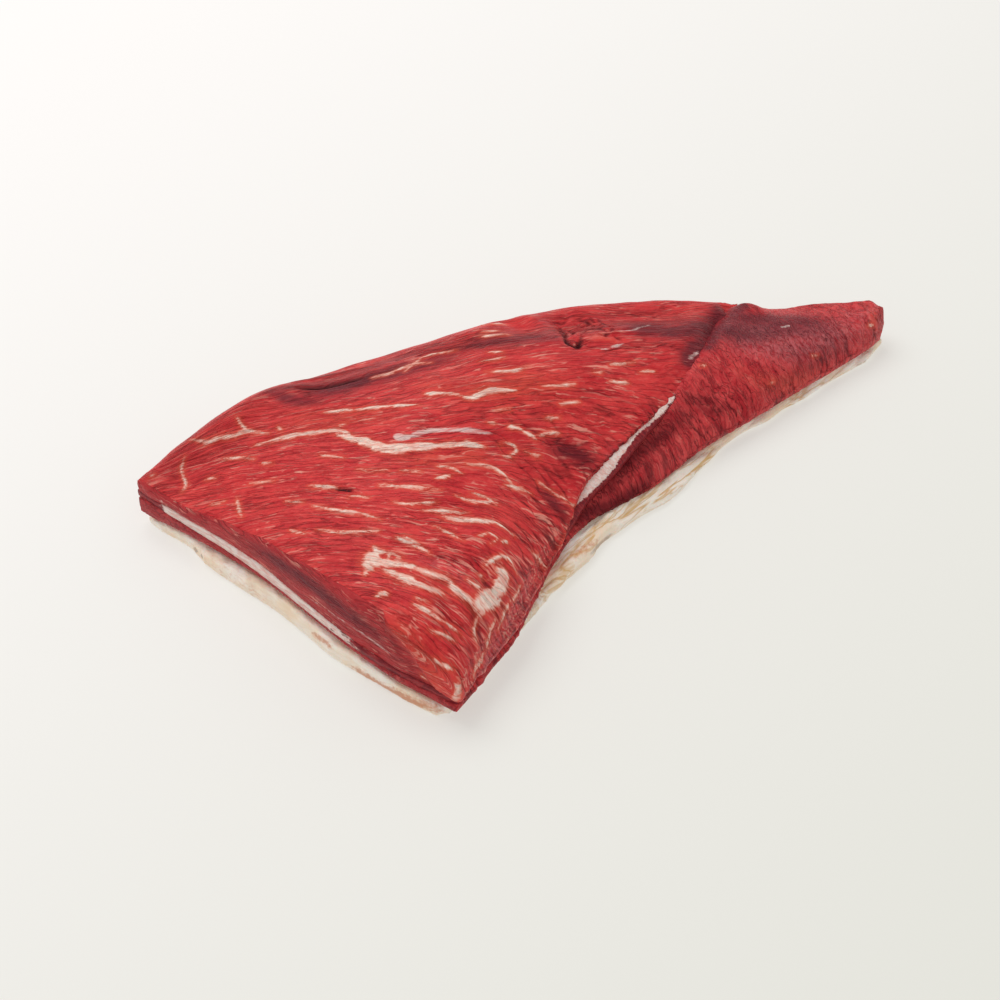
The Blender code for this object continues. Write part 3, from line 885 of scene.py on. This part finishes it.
UPPER_STROKES = (
    *strokes(Mark.FAT, (
        (4, 1, (255, 445, 287, 437, 314, 433, 341, 431, 354, 438), (364, 573, 368, 574)),
        (7.5, 1, (336, 434, 354, 439, 371, 444, 384, 449, 400, 449, 421, 447, 445, 446)),
        (4.5, 1, (415, 448, 445, 445, 468, 444, 486, 447)),
        (3.2, 1, (324, 413, 340, 411, 354, 410), (481, 337, 495, 335, 510, 333),
         (441, 516, 464, 521, 494, 523, 513, 535)),
        (3.4, 1, (354, 410, 381, 407, 419, 405), (376, 597, 381, 594, 388, 595)),
        (3.6, 1, (424, 394, 445, 394, 459, 394), (466, 579, 473, 584, 481, 588)),
        (4.4, 1, (455, 395, 472, 398, 488, 391, 518, 391)),
        (2.6, 1, (372, 378, 392, 373, 411, 365, 432, 362), (421, 675, 427, 679),
         (520, 430, 528, 434, 536, 439)),
        (2.8, 1, (191, 450, 207, 449, 220, 443, 234, 439, 247, 433, 269, 433)),
        (2, 1, (237, 425, 242, 429, 247, 433), (186, 464, 182, 474, 186, 485, 182, 493),
         (237, 498, 239, 509, 242, 518), (317, 529, 336, 532, 358, 532, 379, 531),
         (404, 536, 418, 545, 430, 555), (472, 493, 485, 498, 496, 506), (532, 552, 541, 559, 549, 567),
         (430, 630, 444, 635, 456, 641), (434, 658, 443, 664, 452, 669), (450, 703, 456, 694, 458, 680),
         (478, 326, 492, 324, 506, 321), (480, 362, 495, 360, 505, 357), (224, 459, 240, 458, 255, 459),
         (261, 463, 273, 463), (151, 484, 156, 482), (423, 510, 441, 511, 469, 513),
         (436, 479, 444, 477, 451, 476), (456, 496, 472, 501, 497, 504), (486, 373, 505, 371, 523, 371),
         (548, 386, 562, 385, 574, 385), (594, 372, 602, 373), (538, 435, 550, 433, 559, 433),
         (393, 502, 410, 504, 438, 502), (505, 485, 520, 489, 533, 494)),
        (1.8, 1, (277, 426, 282, 431), (210, 505, 226, 501), (349, 497, 358, 496, 368, 498),
         (357, 469, 375, 471, 389, 470), (285, 501, 304, 502), (480, 536, 488, 534, 496, 540, 490, 544),
         (482, 333, 498, 330), (540, 385, 560, 386, 576, 384), (478, 616, 474, 630, 477, 644),
         (496, 618, 490, 632, 486, 646), (510, 600, 503, 616, 498, 628), (493, 658, 486, 668, 480, 675),
         (484, 650, 477, 662, 472, 674), (520, 585, 513, 600)),
        (2.4, 1, (309, 486, 324, 487, 338, 488), (379, 485, 410, 487, 440, 490),
         (312, 506, 336, 510, 360, 514, 381, 520), (449, 516, 470, 519, 491, 522, 504, 528, 516, 537),
         (499, 446, 505, 443, 513, 445, 516, 451, 510, 456, 502, 456),
         (483, 567, 491, 561, 499, 557, 507, 559, 512, 566, 516, 575),
         (413, 604, 426, 611, 439, 619, 452, 627, 460, 634), (488, 423, 495, 422)),
        (3, 1, (396, 537, 412, 545, 430, 553), (478, 574, 486, 579, 492, 581), (500, 543, 507, 542)),
        (2.2, 1, (437, 466, 451, 468, 462, 474), (467, 464, 488, 466, 502, 474, 512, 484),
         (434, 526, 448, 533, 463, 541), (486, 372, 510, 371, 528, 366)),
        (1.6, 1, (538, 481, 555, 493, 577, 507), (488, 353, 503, 352),
         (405, 372, 416, 362, 429, 355, 457, 350), (610, 365, 618, 364, 635, 362), (610, 381, 629, 383),
         (497, 410, 510, 409), (339, 426, 347, 423), (400, 471, 420, 472), (320, 455, 345, 458),
         (560, 404, 580, 402), (250, 484, 275, 481), (205, 480, 216, 478), (640, 372, 655, 371),
         (415, 598, 430, 602), (290, 530, 305, 534), (525, 452, 540, 457), (545, 418, 560, 418)),
        (4.2, 1, (508, 427, 516, 428, 524, 430)),
    )),
    *strokes(Mark.FAT, (
        (7, 1, (366, 560, 367, 566, 372, 570)),
        (6, 1, (374, 546, 376, 551, 380, 558), (476, 604, 481, 609, 482, 616)),
        (4.6, 1, (412, 582, 425, 587, 436, 591, 444, 595)),
        (5, 1, (414, 568, 432, 574, 447, 579, 453, 585), (450, 583, 457, 591, 468, 599, 474, 606)),
        (4, 1, (490, 601, 497, 603, 501, 597)),
    ), soft=0.8),
    *strokes(Mark.FAT, (
        (5, 1, (400, 563, 408, 566, 415, 567)),
        (6, 1, (503, 584, 504, 576, 498, 570)),
    ), soft=0.7),
    *strokes(Mark.FAT, (
        (9, 1, (376, 551, 384, 555, 392, 558, 399, 560)),
        (8, 1, (384, 567, 395, 573, 407, 579, 416, 583)),
    ), soft=0.6),
    *strokes(Mark.FAT, (
        (3.4, 1, (584, 495, 594, 482, 606, 466)),
    ), soft=0.5),
    *strokes(Mark.FAT, (
        (12, 1, (371, 558, 381, 561, 394, 564)),
    ), blunt=True, soft=0.5),
    *strokes(Mark.FAT, (
        (13, 1, (480, 605, 488, 599, 496, 591, 501, 582)),
    ), blunt=True, soft=0.45),
    *strokes(Mark.SINEW, (
        (4.5, 1, (392, 437, 408, 437, 430, 431, 470, 430, 496, 434)),
        (6, 1, (394, 436, 404, 438, 412, 436)),
        (2.4, 1, (617, 331, 634, 328, 650, 323)),
        (2.6, 1, (600, 349, 612, 347, 625, 343), (660, 408, 664, 404, 668, 400)),
        (3, 1, (688, 356, 695, 351, 700, 346)),
        (2.2, 1, (640, 437, 648, 428, 655, 420, 664, 405, 668, 401)),
        (1.6, 1, (160, 501, 164, 503), (312, 600, 345, 622, 378, 645, 404, 662)),
        (2, 1, (345, 640, 372, 655, 400, 672, 430, 690, 452, 700)),
    )),
    # Pits, and the crease under the fold lip: dents, darkened with painted shade.
    *strokes(Mark.PIT, (
        (3.2, 1, (336, 489, 344, 489, 352, 490)),
        (4.5, 0.9, (298, 393, 310, 391, 324, 388, 342, 383, 362, 377)),
        (5, 1, (565, 331, 568, 341, 578, 345, 582, 336)),
        (3, 0.7, (590, 322, 596, 318), (582, 330, 590, 330)),
        (3, 0.6, (599, 351, 612, 349, 625, 346)),
        (3.5, 0.9, (562, 324, 567, 330, 566, 338)),
        (2.6, 0.6, (576, 318, 584, 322)),
    )),
    *strokes(Mark.SHADE, (
        (16, 0.9, (268, 400, 300, 392, 340, 384, 380, 374, 410, 362)),
        (14, 0.6, (470, 336, 500, 334, 530, 334, 556, 336)),
        (12, 0.7, (572, 330, 590, 326, 604, 328)),
        (12, 0.9, (560, 450, 576, 455, 590, 462)),
        (15, 0.8, (548, 500, 560, 512, 570, 524)),
        (9, 0.5, (620, 345, 660, 345, 690, 352)),
        (10, 0.5, (446, 556, 470, 560, 486, 560)),
        (12, 0.5, (376, 600, 384, 625, 396, 648, 398, 664)),
        (20, 0.5, (430, 352, 470, 340, 520, 330), (540, 486, 556, 500, 566, 514)),
        (22, 0.55, (566, 322, 580, 330, 596, 326), (545, 440, 566, 448, 590, 462)),
        (22, 0.6, (280, 398, 350, 374, 400, 358, 450, 344, 500, 331)),
        (12, 0.65, (300, 384, 350, 372, 392, 362)),
        (9, 0.65, (240, 392, 300, 378, 360, 362, 400, 352)),
        (14, 0.45, (640, 310, 690, 310, 740, 308)),
        (18, 0.75, (420, 354, 470, 346, 520, 340)),
        (8, 0.5, (545, 314, 600, 308, 660, 306)),
    )),
    *strokes(Mark.SHADE, (
        (5, 0.6, (562, 532, 544, 565, 526, 602, 501, 642, 477, 672, 461, 696)),
        (26, 0.6, (500, 334, 560, 326, 640, 318, 720, 318)),
    ), blunt=True),
    *strokes(Mark.GLOW, (
        (26, 0.8, (430, 385, 480, 388, 530, 385, 560, 388)),
        (22, 0.6, (300, 420, 340, 418, 400, 412)),
        (16, 0.8, (400, 458, 440, 460, 480, 456)),
        (20, 0.9, (400, 625, 425, 655, 440, 690)),
        (12, 0.9, (580, 500, 597, 482, 618, 452)),
        (9, 0.6, (577, 507, 568, 528, 558, 548)),
        (12, 0.6, (592, 336, 604, 338, 614, 342)),
        (14, 1, (582, 498, 597, 480, 618, 452)),
    )),
    *strokes(Mark.PURPLE, (
        (26, 0.8, (300, 400, 350, 385, 400, 372, 450, 356)),
        (22, 0.6, (470, 345, 520, 338, 560, 336)),
        (18, 0.8, (250, 545, 300, 578, 340, 608, 380, 640)),
        (12, 0.5, (560, 450, 580, 462)),
        (16, 0.7, (266, 400, 296, 402, 324, 400)),
        (26, 0.55, (552, 446, 572, 452, 594, 464)),
        (20, 0.5, (545, 492, 560, 508)),
    )),
    *strokes(Mark.PURPLE, (
        (30, 0.9, (640, 328, 680, 330, 716, 322)),
        (24, 0.9, (660, 330, 700, 330, 728, 318)),
        (22, 1, (690, 358, 701, 340, 712, 320, 722, 305)),
    ), blunt=True),
    *strokes(Mark.COARSE, (
        (40, 1, (470, 560, 500, 600, 480, 650, 460, 690)),
        (34, 1, (520, 490, 545, 530, 520, 600)),
        (24, 1, (560, 440, 580, 470, 565, 510)),
        (18, 0.8, (560, 325, 600, 330, 650, 335)),
        (20, 0.7, (400, 540, 440, 560, 440, 620, 430, 660)),
    )),
    *strokes(Mark.FOLD, (
        (6, 0.7, (294, 386, 316, 380, 345, 372, 375, 364)),
        (6, 1.2, (583, 318, 590, 313, 600, 314, 603, 322)),
        (7, 0.9, (586, 340, 600, 338, 612, 340)),
    )),
    *strokes(Mark.LOBE, (
        (26, 1, (400, 618, 418, 640, 432, 665, 450, 694)),
        (20, 1, (440, 655, 460, 680, 468, 700)),
    ), blunt=True),
    *strokes(Mark.SWELL, (
        (36, 5.2, (142, 490, 165, 472, 190, 452, 222, 428, 260, 404, 296, 392)),
        (30, -1.5, (612, 306, 650, 303, 690, 303)),
        (14, -1.8, (508, 320, 528, 317)),
        (14, 0.9, (462, 336, 482, 330)),
    )),
    *strokes(Mark.SWELL, (
        (40, -3.4, (530, 322, 580, 315, 640, 310, 710, 308)),
        (26, -2.2, (712, 332, 732, 306)),
        (14, -3, (729, 302, 736, 301.5)),
        (18, -2.2, (645, 432, 672, 392, 698, 352, 722, 318)),
        (16, -1.8, (562, 532, 544, 564, 524, 600, 499, 640, 475, 670, 460, 690)),
    ), blunt=True),
    *strokes(Mark.CRAG, (
        (20, 1.5, (562, 316, 570, 332, 582, 344)),
        (20, 1.4, (584, 312, 600, 320, 614, 338)),
        (10, 0.5, (620, 350, 650, 346, 690, 350)),
    )),
    *strokes(Mark.BARE, (
        (6, 0.9, (382, 555, 386, 557)),
        (5, 0.9, (391, 557, 394, 558)),
        (4, 0.5, (388, 568, 402, 570, 418, 574)),
        (4, 0.7, (485, 585, 493, 583)),
        (3.5, 0.8, (484, 578, 496, 577)),
    )),
    *strokes(Mark.VEIL, (
        (34, 1, (528, 585, 510, 620, 490, 655, 472, 682)),
        (16, 0.6, (420, 560, 460, 575, 500, 600)),
        (12, 1.2, (582, 496, 598, 474, 616, 450)),
        (20, 1.4, (500, 640, 486, 660, 472, 682)),
    )),
)

UPPER_GUIDES = (
    (190, 445, 250, 400, 300, 384, 380, 362, 450, 340, 520, 324, 600, 316, 680, 314, 745, 310),
    (165, 470, 230, 425, 300, 405, 380, 385, 450, 368, 520, 352, 600, 345, 680, 343, 715, 340),
    (150, 480, 220, 445, 290, 425, 370, 410, 450, 395, 520, 385, 600, 385, 660, 395, 680, 392),
    (148, 486, 210, 462, 280, 447, 350, 440, 430, 438, 500, 430, 570, 428, 620, 440, 640, 437),
    (160, 500, 220, 483, 290, 472, 360, 465, 430, 462, 480, 462, 530, 470, 580, 487, 595, 485),
    (185, 508, 240, 497, 300, 488, 370, 486, 430, 487, 480, 495, 530, 515, 570, 545),
    (225, 524, 280, 512, 330, 508, 380, 512, 430, 515, 480, 522, 515, 540, 545, 575),
    (260, 541, 310, 532, 360, 535, 410, 540, 460, 550, 495, 570, 520, 610),
    (300, 565, 350, 560, 400, 570, 440, 585, 470, 605, 490, 635, 500, 655),
    (345, 592, 380, 595, 420, 610, 450, 632, 475, 665, 482, 678),
    (375, 615, 400, 632, 430, 655, 452, 685, 458, 700),
)

LOWER_STROKES = (
    *strokes(Mark.FAT, (
        (1.6, 1, (812, 356, 818, 355), (868, 326, 873, 325), (700, 372, 706, 371), (770, 383, 774, 382)),
    )),
    *strokes(Mark.SINEW, (
        (3.2, 1, (780, 328, 786, 327, 790, 326)),
    )),
    *strokes(Mark.SHADE, (
        (20, 0.8, (690, 415, 650, 445, 620, 470, 600, 500)),
        (14, 1.1, (577, 525, 590, 512, 620, 498, 650, 480)),
        (12, 0.7, (690, 400, 710, 412, 730, 405), (682, 404, 700, 402, 716, 402)),
        (26, 0.6, (710, 335, 750, 335, 780, 330)),
        (16, 0.4, (760, 392, 790, 378, 826, 360)),
    )),
    *strokes(Mark.GLOW, (
        (18, 0.5, (740, 370, 780, 385, 820, 365)),
    )),
    *strokes(Mark.GLOW, (
        (7, 0.9, (738, 308, 752, 309)),
        (10, 0.8, (874, 312, 878, 332)),
    ), blunt=True),
    *strokes(Mark.PURPLE, (
        (44, 1, (700, 330, 745, 335, 790, 325, 830, 330)),
        (26, 0.6, (730, 335, 770, 345, 800, 350)),
        (34, 0.6, (770, 348, 810, 350, 845, 338)),
    )),
    *strokes(Mark.PURPLE, (
        (20, 0.9, (706, 352, 722, 332, 740, 314)),
        (26, 1, (728, 326, 754, 322, 772, 320)),
    ), blunt=True),
    *strokes(Mark.COARSE, (
        (18, 1, (686, 398, 700, 404, 716, 404)),
        (30, 1, (620, 480, 660, 440, 700, 410, 740, 380)),
        (22, 0.5, (760, 380, 800, 350, 850, 330)),
    )),
    *strokes(Mark.SWELL, (
        (34, -2, (770, 308, 810, 306, 850, 308)),
        (15, -2.2, (600, 506, 620, 496, 645, 482, 668, 466, 690, 450)),
    )),
    *strokes(Mark.SWELL, (
        (9, 2.4, (880, 311, 883, 312)),
        (14, -1.2, (852, 305, 864, 306)),
        (26, 3.2, (668, 412, 690, 382, 712, 352, 732, 326, 746, 312)),
        (16, 1, (730, 314, 742, 311, 756, 311)),
    ), blunt=True),
    *strokes(Mark.VEIL, (
        (20, 0.5, (720, 330, 760, 332, 800, 334)),
        (30, 1.2, (745, 348, 780, 348, 815, 342, 850, 330, 872, 322)),
    )),
    *strokes(Mark.VEIL, (
        (16, 1, (850, 312, 876, 312, 878, 335)),
    ), blunt=True),
)

LOWER_GUIDES = (
    (585, 520, 590, 530),
    (600, 490, 620, 515),
    (640, 450, 665, 487),
    (690, 400, 720, 437),
    (740, 345, 770, 385, 778, 403),
    (790, 330, 815, 360, 822, 372),
    (845, 325, 860, 345),
)

FAT_STROKES = (
    # Rust on the fat: painted contact shadow along its lower edge, with some of the fat's own warm tinge.
    *strokes(Mark.SHADE, (
        (7, 0.8, (312, 634, 322, 640, 332, 648)),
        (10, 0.9, (352, 668, 380, 684, 410, 700, 440, 711)),
        (6, 0.6, (570, 560, 585, 548, 598, 540)),
        (30, 0.3, (150, 522, 200, 556, 260, 598, 300, 630)),
    )),
    *strokes(Mark.GLOW, (
        (16, 1, (520, 620, 560, 570, 600, 530, 650, 500, 700, 465, 760, 425, 850, 368)),
    )),
    # Grey on the fat: a few specks, and painted contact shadow along its lower edge.
    *strokes(Mark.PURPLE, (
        (4, 1.6, (194, 549, 197, 551)),
        (3.5, 1.6, (201, 556, 203, 557)),
        (5, 0.9, (588, 553, 600, 543, 612, 534)),
        (5, 0.8, (738, 448, 760, 436, 778, 424)),
        (5, 0.6, (832, 382, 850, 371, 866, 360)),
    )),
    *strokes(Mark.SWELL, (
        (22, 2.2, (545, 588, 570, 567, 595, 551, 620, 536, 650, 517)),
    )),
)


@dataclass(frozen=True)
class Relief:
    """The fine forms of a muscle: the size of their cells and their heights, in millimetres."""

    wave_cell: Cell = (26.0, 3.6, 3.6)
    strand_cell: Cell = (12.0, 1.7, 1.7)
    lump_cell: float = 20.0
    column_cell: Span = (4.4, 26.0)
    sway_cells: Span = (13.0, 5.0)
    sways: Span = (2.6, 1.0)
    knob_cells: Span = (7.5, 3.4)
    wave: Span = (0.10, 0.75)
    strand: Span = (0.06, 0.12)
    lump: float = 0.35
    column: float = 0.7
    knob: Span = (1.5, -1.1)
    fat: float = 0.38
    pit: float = 1.3
    fold: float = 0.8
    lobe: float = 0.9
    crease: Span = (0.10, 0.90)
    crease_widths: Span = (0.16, 0.18)
    crag_shade: float = 1.3
    crease_shade: float = 0.75


@dataclass
class Muscle(Layer):
    """A lean muscle, carved along its fibres."""

    guides: tuple[Path, ...] = ()
    strokes: tuple[Stroke, ...] = ()
    along: tuple[float, float] = (0.75, -0.66)
    swell: float = 0.0
    finish_type: MuscleFinish = field(default_factory=MuscleFinish)
    fine: Relief = Relief()
    cut_face: tuple[float, float] = (-0.87, -0.49)
    near_side: tuple[float, float] = (0.70, -0.71)
    bared: float = 2.5
    grain_level: float = 14.0
    grain_drop: float = 0.6
    lobe_edge: Span = (0.35, 0.6)
    upward: Span = (-0.5, 0.3)
    shown_from: Span = (-0.7, -0.3)
    wall_from: Span = (0.25, 0.65)

    def build(self) -> bpy.types.Object:
        """Models and dresses the muscle.

        Returns:
            The piece.
        """
        made = self.copy_solid()
        self.refine(made)
        places, normals = self.read(made)
        skin = self.skin(made, places)
        grain = self.grain(skin, places, normals)
        marks = {m: skin.sheet(self.strokes, m) for m in Mark}
        marks[Mark.FAT] = marks[Mark.FAT] - self.bared * marks[Mark.BARE]
        face = self.face(places, normals)
        face[:, 2] *= 1 - ramp(marks[Mark.LOBE], *self.lobe_edge)
        steep = face[:, 2:]
        followed = grain * (1 - steep) + np.column_stack([face[:, :2], np.zeros(len(face))]) * steep
        shift = normals * (self.relief(followed, places, normals, marks) + self.swell)[:, None]
        shift[:, 2] -= self.sink * ramp(-normals[:, 2], *self.underside)
        rise = marks[Mark.SWELL] * MM
        shift[:, 2] += np.where(rise > 0, rise * ramp(normals[:, 2], *self.upward), rise)
        self.carve(made, places + shift)
        self.write(made, "fibre", grain)
        self.write(made, "face", face)
        for name, channel in CHANNELS.items():
            self.write(made, name, np.column_stack([marks[m] for m in channel]))
        self.finish(made, self.finish_type.material(self.node))
        return made

    def grain(self, skin: Skin, places: np.ndarray, normals: np.ndarray) -> np.ndarray:
        """Grain coordinates of the top, which run on down the sides."""
        rows = FibreMap(skin, self.guides, self.along).read(places)
        height = places[:, 2] / MM - self.grain_level
        rows[:, 2] = ramp(-normals[:, 2], -0.5, -0.1) * height * self.grain_drop
        return rows

    def face(self, places: np.ndarray, normals: np.ndarray) -> np.ndarray:
        """Level coordinates of the cut face, and how far each vertex belongs to it."""
        out = np.array(self.cut_face)
        steep = ramp(normals[:, :2] @ out, 0.35, 0.75)
        return np.column_stack([places[:, :2] @ np.array([-out[1], out[0]]) / MM, places[:, 2] / MM, steep])

    def relief(self, grain: np.ndarray, places: np.ndarray, normals: np.ndarray,
               marks: dict[Mark, np.ndarray]) -> np.ndarray:
        """How far each vertex stands out of the smooth form. Creases are added to the shade.

        Args:
            grain: The grain coordinates.
            places: The vertices' places.
            normals: The vertices' normals.
            marks: The strokes, by mark.

        Returns:
            The heights, in metres.
        """
        fine = self.fine
        shown = ramp(normals[:, 2], *self.shown_from)
        coarse = np.clip(marks[Mark.COARSE], 0, 1)
        crag = np.clip(marks[Mark.CRAG], 0, 1)
        wall = ramp(normals[:, :2] @ np.array(self.near_side), *self.wall_from)
        wave_cell = np.array(fine.wave_cell) * (self.finish_type.run, 1, 1)
        wave = np.abs(Noise(3)(grain / wave_cell))
        strands = Noise(4)(grain / np.array(fine.strand_cell))
        lumps = Noise(5)(places / (fine.lump_cell * MM))
        beside = places[:, :2] @ np.array([-self.near_side[1], self.near_side[0]])
        for seed, sway, cell in zip((12, 13), fine.sways, fine.sway_cells):
            beside = beside + sway * MM * Noise(seed)(places / (cell * MM))
        width, height = fine.column_cell
        column = np.abs(Noise(6)(np.column_stack([beside / (width * MM), places[:, 2] / (height * MM),
                                                  places[:, 2] * 0])))
        large, small = (np.abs(Noise(seed)(places / (cell * MM)))
                        for seed, cell in zip((9, 10), fine.knob_cells))
        knobs = large + 0.5 * small
        groove, gap = fine.crease_widths
        creases = (1 - ramp(wave, 0.0, groove)) * (fine.crease[0] + fine.crease[1] * coarse) * (1 - wall)
        creases = np.maximum(creases, (1 - ramp(column, 0.0, gap)) * wall)
        creases = np.maximum(creases, (1 - ramp(knobs, 0.08, 0.50)) * crag * fine.crag_shade)
        marks[Mark.SHADE] = np.maximum(marks[Mark.SHADE], fine.crease_shade * creases)
        heights = (2 * wave - 0.5) * (fine.wave[0] + fine.wave[1] * coarse) * (1 - wall)
        heights = heights + (2 * column - 0.5) * fine.column * wall
        heights += (strands * (fine.strand[0] + fine.strand[1] * coarse) + lumps * fine.lump
                    + (fine.knob[0] * knobs + fine.knob[1]) * crag)
        heights += fine.fat * ramp(marks[Mark.FAT], -0.6, 0.5)
        heights -= fine.pit * marks[Mark.PIT]
        heights += fine.fold * marks[Mark.FOLD] + fine.lobe * ramp(marks[Mark.LOBE], 0.25, 0.6)
        return heights * shown * MM


@dataclass
class SeamFat(Layer):
    """The white seam between the muscles."""

    levels: int = 2
    swell: float = 0.0006
    roughen: float = 0.00012
    hold: float = 0.5
    rough_cells: Span = (2.2, 1.1)
    end_sink: float = 0.0020
    end_from: Span = (0.060, 0.080)
    cut_near: Span = (-0.070, -0.026)
    cut_left: Span = (0.070, 0.090)
    cut_back: Span = (0.040, 0.047)
    front_right: Span = (-0.072, -0.058)
    front_left: Span = (-0.020, -0.012)
    front_back: Span = (0.045, 0.060)
    back_near: Span = (0.060, 0.066)
    back_right: Span = (-0.06, -0.04)
    back_white: float = 0.6
    notch_run: Span = (0.66, -0.75)
    turn_at: Span = (-0.065, -0.045)
    notch: tuple[float, float] = (-0.010, -0.0185)
    front_side: tuple[float, float] = (0.83, 0.557)
    front_run: tuple[float, ...] = (2.0, 8.0, 14.0, 20.0, 28.0, 36.0, 44.0, 52.0, 62.0, 83.0)
    front_width: tuple[float, ...] = (-0.4, 1.2, 2.8, 3.9, 3.7, 2.4, 1.6, 1.35, 1.2, 0.6)

    def build(self) -> bpy.types.Object:
        """Models and dresses the seam.

        Returns:
            The piece.
        """
        made = self.copy_solid()
        places, normals = self.read(made)
        coarse, fine = self.rough_cells
        ragged = Noise(7)(places / (coarse * MM)) + 0.6 * Noise(8)(places / (fine * MM))
        shift = normals * (self.swell + self.roughen * ragged)[:, None]
        shift[:, 2] -= self.sink * ramp(-normals[:, 2], *self.underside)
        shift[:, 2] -= self.end_sink * ramp(places[:, 0], *self.end_from)
        self.carve(made, places + shift)
        cut = ramp(places[:, 1], *self.cut_near) * ramp(-places[:, 0], *self.cut_left)
        cut *= 1 - ramp(places[:, 1], *self.cut_back)
        onward = (places[:, :2] - np.array(self.notch)) @ np.array(self.front_side) / MM
        width = np.interp(onward, self.front_run, self.front_width)
        bare = np.clip(0.45 + (width - self.outside(places) / MM) / 1.2, 0, 1.2)
        front = bare * ramp(-places[:, 0], *self.front_right) * ramp(places[:, 0], *self.front_left)
        back = ramp(places[:, 1], *self.back_near) * ramp(-places[:, 0], *self.back_right) * self.back_white
        white = np.maximum(np.maximum(cut, front * (1 - ramp(places[:, 1], *self.front_back))), back)
        share = ramp(turned(places, *SIDE_RUN)[:, 0], *self.turn_at)[:, None]
        along = turned(places, *CUT_RUN) * (1 - share) + turned(places, *self.notch_run) * share
        self.write(made, "fibre", along / MM)
        self.write(made, "tones", np.column_stack([white, white, white]))
        self.finish(made, SeamFinish().material(self.node))
        return made

    @staticmethod
    def outside(places: np.ndarray) -> np.ndarray:
        """How far each place is from the muscle above."""
        tree = tree_of("upper_muscle")
        return np.array([tree.find_nearest(Vector(p))[3] for p in places])


@dataclass
class FatCap(Layer):
    """The fat that the cut lies on."""

    strokes: tuple[Stroke, ...] = FAT_STROKES
    hold: float = 0.1
    flat_from: float = 0.98
    turn_at: Span = (0.045, 0.065)
    resting: Span = (0.0004, 0.0015)
    lump_cells: Span = (9.0, 3.6)
    fold_cell: Cell = (22.0, 3.2, 3.2)
    grain_cell: float = 1.7
    lump_height: float = 0.55
    fold_height: Span = (0.15, 0.55)
    grain_height: float = 0.10

    def hidden(self, centres: np.ndarray, normals: np.ndarray) -> np.ndarray:
        """The faces that the meat covers, and the flat underside."""
        return super().hidden(centres, normals) | (normals[:, 2] < -self.flat_from)

    def build(self) -> bpy.types.Object:
        """Models and dresses the fat.

        Returns:
            The piece.
        """
        made = self.copy_solid()
        self.refine(made)
        places, normals = self.read(made)
        skin = self.skin(made, places)
        left, right = turned(places, *CUT_RUN), turned(places, *SIDE_RUN)
        share = ramp(-right[:, 0], *self.turn_at)[:, None]
        along = (left * share + right * (1 - share)) / MM
        share = share[:, 0]
        large, small = self.lump_cells
        lumps = Noise(21)(places / (large * MM)) + share * Noise(24)(places / (small * MM))
        folds = 2 * np.abs(Noise(22)(along / np.array(self.fold_cell))) - 0.6
        grain = Noise(23)(places / (self.grain_cell * MM))
        clear = ramp(places[:, 2], *self.resting)
        fold_height = self.fold_height[0] + self.fold_height[1] * (1 - share)
        heights = self.lump_height * lumps + fold_height * folds + self.grain_height * grain
        heights = (heights + skin.sheet(self.strokes, Mark.SWELL)) * clear * MM
        self.carve(made, places + normals * heights[:, None])
        self.write(made, "fibre", along)
        # On the fat the shade, glow and purple strokes give its rust, tan and grey; rust and grey are
        # partly painted contact shadow.
        self.write(made, "tones", np.column_stack([skin.sheet(self.strokes, m) for m in CHANNELS["tones"]]))
        self.finish(made, FatFinish().material(self.node))
        return made


@dataclass
class Studio:
    """A pale floor and soft white light; the floor's own glow and its fade to lighter at the back left are
    painted light.
    """

    floor_size: float = 8.0
    # The floor's colours at the front right and at the back left: a painted fade of the light.
    near: Colour = display(229, 229, 221)
    far: Colour = display(253, 250, 248)
    dim: float = 0.45
    # How strongly the floor glows: painted light that fills in the shadows on it.
    floor_glow: float = 1.25
    matt: float = 0.9
    sky_colour: Colour = (1.0, 0.99, 0.975)
    sky: float = 0.62
    key: float = 19.0
    key_size: float = 1.6
    key_place: tuple[float, float, float] = (-0.5, 0.8, 1.85)

    def build(self) -> None:
        """Adds the floor, the sky and the lamp."""
        bpy.ops.mesh.primitive_plane_add(size=self.floor_size)
        floor = bpy.context.object
        floor.name = "floor"
        g = Graph("floor")
        place = g.node("ShaderNodeTexCoord").outputs["Object"]
        x, y, _ = g.split(Wire(g, place))
        # Painted light fall-off: the floor is darker at the front right and lighter at the back left.
        colour = g.mix((y * 0.9 - x * 0.5).step(-0.45, 0.55), self.near, self.far)
        colour = g.mix(self.dim, (0.0, 0.0, 0.0), colour)
        # Painted light: the floor glows, which fills in the shadows cast on it.
        floor.data.materials.append(g.surface(colour, self.matt, glow=self.floor_glow))
        world = bpy.data.worlds.new("studio")
        world.use_nodes = True
        light = world.node_tree.nodes["Background"].inputs
        light[0].default_value = (*self.sky_colour, 1.0)
        light[1].default_value = self.sky
        bpy.context.scene.world = world
        turn = (-Vector(self.key_place)).to_track_quat("-Z", "Y").to_euler()
        bpy.ops.object.light_add(type="AREA", location=self.key_place, rotation=turn)
        lamp = bpy.context.object
        lamp.name = "key_light"
        lamp.data.shape = "DISK"
        lamp.data.size = self.key_size
        lamp.data.energy = self.key
        bpy.context.scene.view_settings.view_transform = "Standard"


def main() -> None:
    """Builds the studio and the four layers, from the bottom up."""
    logging.basicConfig(level=logging.INFO, format="%(message)s")
    camera = Camera()
    camera.build()
    Studio().build()
    FatCap(camera, "fat_cap").build()
    Muscle(camera, "lower_muscle", guides=LOWER_GUIDES, strokes=LOWER_STROKES, swell=0.0002,
           finish_type=MuscleFinish(shade_red=display(98, 14, 24), lean=display(180, 34, 44),
                                    bright=display(226, 80, 80), marbling=0.70, threads=0.15, run=0.42,
                                    warp=5.0)).build()
    SeamFat(camera, "seam_fat").build()
    Muscle(camera, "upper_muscle", voxel=0.00075, guides=UPPER_GUIDES, strokes=UPPER_STROKES).build()


if __name__ == "__main__":
    main()
